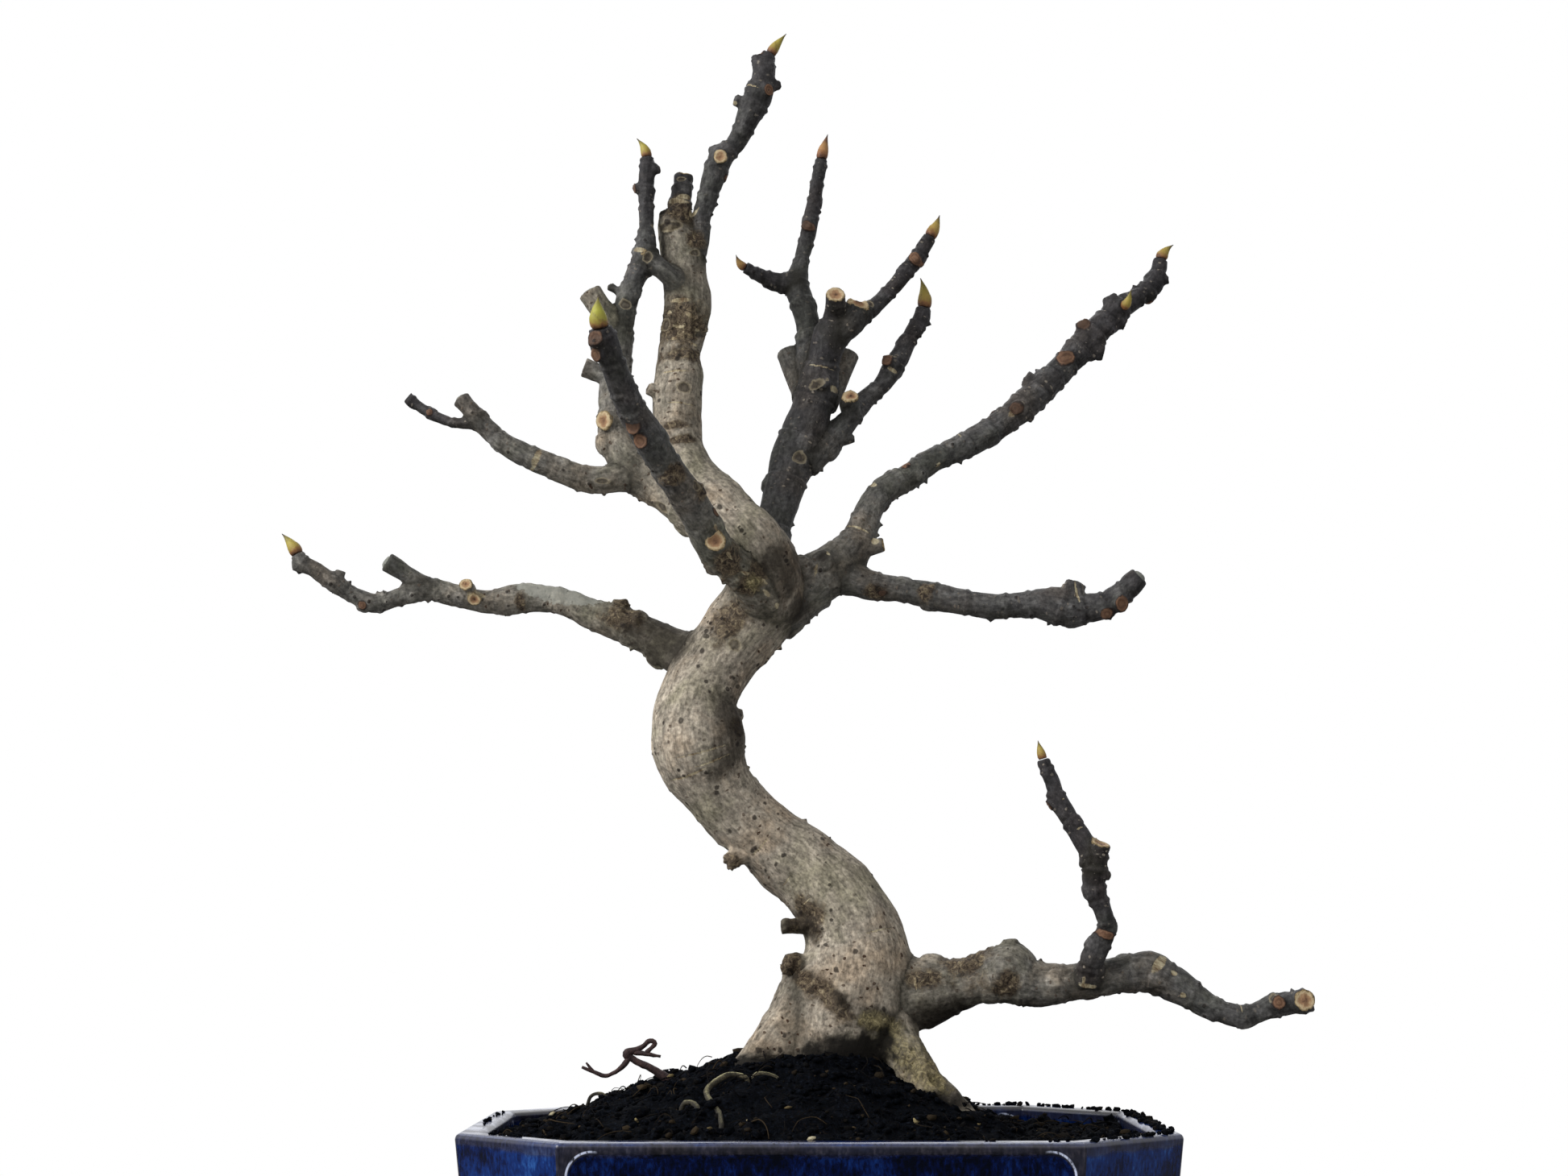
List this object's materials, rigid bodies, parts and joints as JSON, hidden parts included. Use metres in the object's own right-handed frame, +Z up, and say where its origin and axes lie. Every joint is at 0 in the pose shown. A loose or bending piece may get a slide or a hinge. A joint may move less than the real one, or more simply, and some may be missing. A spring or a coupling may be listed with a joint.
{
  "type": "bonsai in a pot",
  "caption": "Leafless fig bonsai with a winding trunk, pruned limbs and pointed buds, rooted in a compost mound in a low cobalt-glazed pot with cut corners, panels and corner feet.",
  "frame": {"origin": "bottom centre of the whole plant's bounding box, on the plane the pot's feet stand on", "axes": "+Z up along the plant, +X to the plant's right as seen from the front, -Y towards the front, where the long face of the pot looks"},
  "size_m": [0.3648, 0.188, 0.4754],
  "materials": {
    "bark": "grey-beige fig bark with lenticels and leaf scars, darker on young wood",
    "bud_scale": "smooth closed yellow-green bud scales",
    "glaze": "cobalt gloss glaze over dark stoneware, breaking brown at the edges",
    "mesh_plastic": "woven plastic drain mesh",
    "wire": "bare soft wire",
    "root_skin": "pale dry root skin",
    "dead_wood": "dry reddish-brown dead root",
    "compost": "near-black fibrous potting compost"
  },
  "bodies": {
    "root": {"tree": "bark", "bud_top": "bud_scale", "bud_left_top": "bud_scale", "bud_back_left": "bud_scale", "bud_small_left": "bud_scale", "bud_back_right": "bud_scale", "bud_sub_branch": "bud_scale", "bud_right_long": "bud_scale", "bud_right_side": "bud_scale", "bud_front": "bud_scale", "bud_lower_left": "bud_scale", "bud_standing": "bud_scale", "pot": "glaze", "drain_screen_left": "mesh_plastic", "drain_screen_right": "mesh_plastic", "screen_wire_left": "wire", "screen_wire_right": "wire", "surface_root_arch": "root_skin", "surface_root_loop": "root_skin", "surface_root_stub": "root_skin", "surface_root_left": "root_skin", "dry_root": "dead_wood", "soil": "compost", "rim_crumbs": "compost"}
  },
  "joints": []
}
